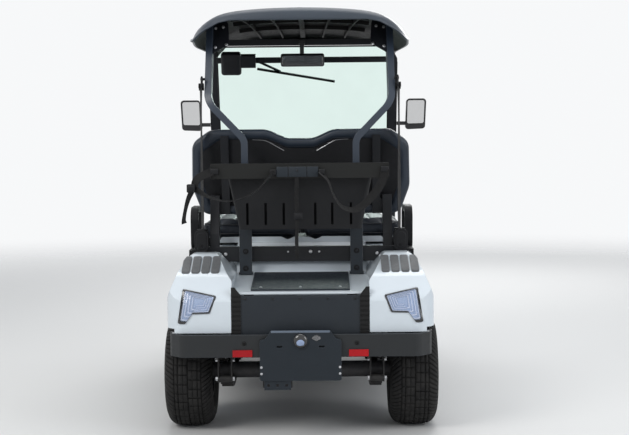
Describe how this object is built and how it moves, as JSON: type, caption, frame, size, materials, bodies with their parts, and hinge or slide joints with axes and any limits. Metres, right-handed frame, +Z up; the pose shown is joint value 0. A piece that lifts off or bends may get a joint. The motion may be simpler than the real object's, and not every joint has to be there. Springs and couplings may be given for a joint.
{
  "type": "golf cart",
  "caption": "Two-seat golf cart with a roof, a windscreen, a rear bag rack and basket; wheels spin, front wheels steer with the steering wheel, seat lifts.",
  "frame": {"origin": "on the ground under the middle of the cart", "axes": "+Y forward, +X to the cart's right, +Z up"},
  "size_m": [1.3422, 2.46, 1.8939],
  "materials": {
    "body_white": "gloss painted moulding",
    "trim_slate": "satin grained plastic",
    "trim_black": "matt black plastic",
    "frame_black": "black powder coat",
    "chassis_black": "black paint",
    "steel": "zinc plated",
    "cast": "cast and machined",
    "webbing": "woven webbing",
    "battery": "battery case",
    "tyre": "rubber tread",
    "alloy": "black machined alloy",
    "vinyl": "grained black vinyl",
    "shell_black": "textured black shell",
    "glass": "tinted safety glass",
    "lamp_clear": "clear lens over a chrome bowl",
    "lamp_front": "clear lens",
    "reflector_red": "red reflector",
    "mirror_case": "black mirror case"
  },
  "bodies": {
    "chassis": {"arch_liners": "trim_black", "arm_loops": "trim_black", "bag_rack": "frame_black", "bag_straps": "webbing", "bag_well_panels": "trim_slate", "battery_pack": "battery", "chassis_frame": "chassis_black", "dash": "trim_black", "drive_motor": "cast", "fender_pads": "trim_black", "floor_pan": "trim_black", "front_axle_beam": "chassis_black", "front_bumper": "trim_black", "front_cowl": "body_white", "front_struts": "frame_black", "headlamps": "lamp_front", "leaf_springs": "chassis_black", "mirrors": "mirror_case", "pedals": "frame_black", "plate_bracket": "frame_black", "rear_axle": "cast", "rear_body": "body_white", "rear_bumper": "trim_black", "rear_reflectors": "reflector_red", "rear_struts": "frame_black", "roof": "trim_slate", "seat_back_cushion": "vinyl", "seat_back_shell": "shell_black", "seat_belts": "webbing", "seat_box": "body_white", "seat_frame": "frame_black", "spring_shackles": "steel", "steering_column": "frame_black", "sweater_basket": "trim_black", "tail_lamps": "lamp_clear", "windscreen_glass": "glass", "windscreen_rails": "frame_black"},
    "wheel_front_left": {"tyre_front_left": "tyre", "rim_front_left": "alloy"},
    "wheel_front_right": {"tyre_front_right": "tyre", "rim_front_right": "alloy"},
    "wheel_rear_left": {"tyre_rear_left": "tyre", "rim_rear_left": "alloy"},
    "wheel_rear_right": {"tyre_rear_right": "tyre", "rim_rear_right": "alloy"},
    "knuckle_left": {"knuckle_left": "cast"},
    "knuckle_right": {"knuckle_right": "cast"},
    "tie_rod": {"tie_rod": "steel"},
    "steering_wheel": {"steering_wheel": "trim_black"},
    "seat_lid": {"seat_lid": "trim_black", "seat_cushions": "vinyl"}
  },
  "joints": [
    {"name": "spin_rear_left", "type": "hinge", "parent": "chassis", "child": "wheel_rear_left", "pos_m": [-0.4925, -0.845, 0.245], "axis": [1, 0, 0], "continuous": true},
    {"name": "spin_rear_right", "type": "hinge", "parent": "chassis", "child": "wheel_rear_right", "pos_m": [0.4925, -0.845, 0.245], "axis": [1, 0, 0], "continuous": true},
    {"name": "steer_left", "type": "hinge", "parent": "chassis", "child": "knuckle_left", "pos_m": [-0.352, 0.825, 0.245], "axis": [0, 0, 1], "range_deg": [-30, 30]},
    {"name": "steer_right", "type": "hinge", "parent": "chassis", "child": "knuckle_right", "pos_m": [0.352, 0.825, 0.245], "axis": [0, 0, 1], "range_deg": [-30, 30]},
    {"name": "tie_rod_pivot", "type": "hinge", "parent": "knuckle_left", "child": "tie_rod", "pos_m": [-0.352, 0.713, 0.223], "axis": [0, 0, 1], "range_deg": [-30, 30]},
    {"name": "spin_front_left", "type": "hinge", "parent": "knuckle_left", "child": "wheel_front_left", "pos_m": [-0.4925, 0.825, 0.245], "axis": [1, 0, 0], "continuous": true},
    {"name": "spin_front_right", "type": "hinge", "parent": "knuckle_right", "child": "wheel_front_right", "pos_m": [0.4925, 0.825, 0.245], "axis": [1, 0, 0], "continuous": true},
    {"name": "steering_wheel_turn", "type": "hinge", "parent": "chassis", "child": "steering_wheel", "pos_m": [-0.25, 0.262, 0.985], "axis": [0, -0.829, 0.5592], "range_deg": [-300, 300]},
    {"name": "seat_lid_hinge", "type": "hinge", "parent": "chassis", "child": "seat_lid", "pos_m": [0, -0.054, 0.793], "axis": [-1, 0, 0], "range_deg": [0, 70]}
  ],
  "couplings": [
    {"joint": "steer_right", "follows": "steer_left", "ratio": 1},
    {"joint": "tie_rod_pivot", "follows": "steer_left", "ratio": -1},
    {"joint": "steering_wheel_turn", "follows": "steer_left", "ratio": 10}
  ]
}
